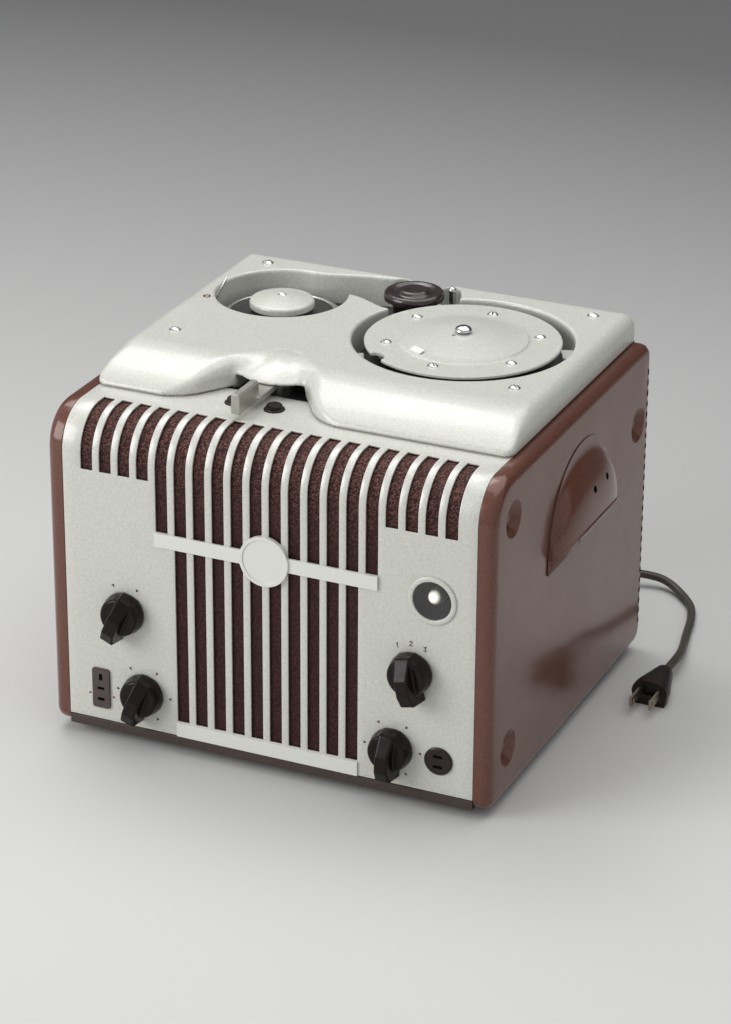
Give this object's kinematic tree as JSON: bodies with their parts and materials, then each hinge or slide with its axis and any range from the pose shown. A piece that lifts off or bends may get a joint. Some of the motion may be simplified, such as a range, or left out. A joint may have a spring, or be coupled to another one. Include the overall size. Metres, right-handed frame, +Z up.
{
  "type": "wire recorder",
  "caption": "Table wire recorder in a brown steel case with a slotted silver front, bar knobs, a signal lamp and a cast deck with two spool wells, a riding head and a control lever.",
  "frame": {"origin": "centre of the machine's footprint on the surface it stands on, cord left out", "axes": "+X to the right seen from the front, +Y to the rear, +Z up"},
  "size_m": [0.35, 0.4148, 0.2422],
  "materials": {
    "front_silver": "satin silver enamel with fine sparkle",
    "brown_paint": "brown metallic enamel",
    "cloth": "woven maroon cloth with copper threads",
    "cone": "pressed paper",
    "steel": "plain steel",
    "cast_cover": "satin silver enamel on a casting",
    "cast_parts": "satin silver",
    "dark_table": "dark flock",
    "bright": "polished",
    "bronze": "bearing bronze",
    "blade_brass": "worn brass",
    "bakelite": "dark brown moulded",
    "plug_plastic": "brown moulded",
    "rubber": "aged rubber",
    "cord": "brown twin cord",
    "clear_glass": "clear",
    "iron": "dark lacquer",
    "fibre": "laminated fibre"
  },
  "bodies": {
    "case": {"front_panel": "front_silver", "grille_cloth": "cloth", "trim_strips": "front_silver", "side_panel_left": "brown_paint", "side_panel_right": "brown_paint", "hand_grip_left": "brown_paint", "hand_grip_right": "brown_paint", "case_screws": "steel", "base_pan": "brown_paint", "rear_panel": "brown_paint", "feet": "rubber", "corner_posts": "steel", "deck_plate": "steel", "deck_cover": "cast_cover", "deck_screws": "steel", "supply_bearing": "bronze", "takeup_bearing": "bronze", "head_guide": "bronze", "guide_post": "steel", "lever_pivot": "steel", "lever_bumpers": "rubber", "selector_switch": "steel", "volume_control": "steel", "output_switch": "steel", "tone_control": "steel", "lamp_bezel": "cast_parts", "lamp_lens": "clear_glass", "lamp_bulb": "clear_glass", "input_socket": "bakelite", "output_socket": "bakelite", "speaker_frame": "steel", "speaker_cone": "cone", "amplifier_chassis": "steel", "tubes": "clear_glass", "power_transformer": "iron", "motor": "iron", "cord_gland": "rubber", "cord_lead": "cord", "cord_coil": "cord", "cord_tail": "cord", "plug_body": "plug_plastic", "plug_blades": "blade_brass"},
    "supply": {"supply_turntable": "dark_table", "supply_hub_cap": "cast_parts", "supply_shaft": "steel"},
    "takeup": {"takeup_disc": "cast_parts", "takeup_drum": "cast_parts", "takeup_screws": "steel", "takeup_nut": "bright", "takeup_shaft": "steel"},
    "head": {"head_cap": "bakelite", "head_block": "bakelite"},
    "lever": {"control_lever": "cast_parts"},
    "selector": {"selector_knob": "bakelite"},
    "volume": {"volume_knob": "bakelite"},
    "output": {"output_knob": "bakelite"},
    "tone": {"tone_knob": "bakelite"},
    "rotor": {"motor_pulley": "steel"},
    "idler": {"idler_wheel": "rubber"},
    "cam": {"level_cam": "fibre"}
  },
  "joints": [
    {"name": "supply_spin", "type": "hinge", "parent": "case", "child": "supply", "pos_m": [-0.081, 0.0723, 0.2138], "axis": [0, 0, 1], "continuous": true},
    {"name": "takeup_spin", "type": "hinge", "parent": "case", "child": "takeup", "pos_m": [0.0545, 0.0472, 0.2138], "axis": [0, 0, 1], "continuous": true},
    {"name": "head_lift", "type": "slide", "parent": "case", "child": "head", "axis": [0, 0, 1], "range_m": [-0.006, 0.006]},
    {"name": "lever_swing", "type": "hinge", "parent": "case", "child": "lever", "pos_m": [-0.034, -0.0202, 0.2138], "axis": [0, 0, 1], "range_deg": [-25, 25]},
    {"name": "selector_turn", "type": "hinge", "parent": "case", "child": "selector", "pos_m": [-0.095, -0.1212, 0.09], "axis": [0, -1, 0], "range_deg": [-60, 0]},
    {"name": "volume_turn", "type": "hinge", "parent": "case", "child": "volume", "pos_m": [-0.083, -0.1212, 0.037], "axis": [0, -1, 0], "range_deg": [-290, 0]},
    {"name": "output_turn", "type": "hinge", "parent": "case", "child": "output", "pos_m": [0.095, -0.1212, 0.09], "axis": [0, -1, 0], "range_deg": [-35, 35]},
    {"name": "tone_turn", "type": "hinge", "parent": "case", "child": "tone", "pos_m": [0.083, -0.1212, 0.037], "axis": [0, -1, 0], "range_deg": [-290, 0]},
    {"name": "motor_spin", "type": "hinge", "parent": "case", "child": "rotor", "pos_m": [-0.022, 0.0288, 0.2138], "axis": [0, 0, 1], "continuous": true},
    {"name": "idler_spin", "type": "hinge", "parent": "case", "child": "idler", "pos_m": [-0.00028, 0.03402, 0.2138], "axis": [0, 0, 1], "continuous": true},
    {"name": "cam_spin", "type": "hinge", "parent": "case", "child": "cam", "pos_m": [0.0225, 0.07926, 0.2138], "axis": [0, 0, 1], "continuous": true}
  ],
  "couplings": [
    {"joint": "cam_spin", "follows": "takeup_spin", "ratio": -0.125}
  ]
}
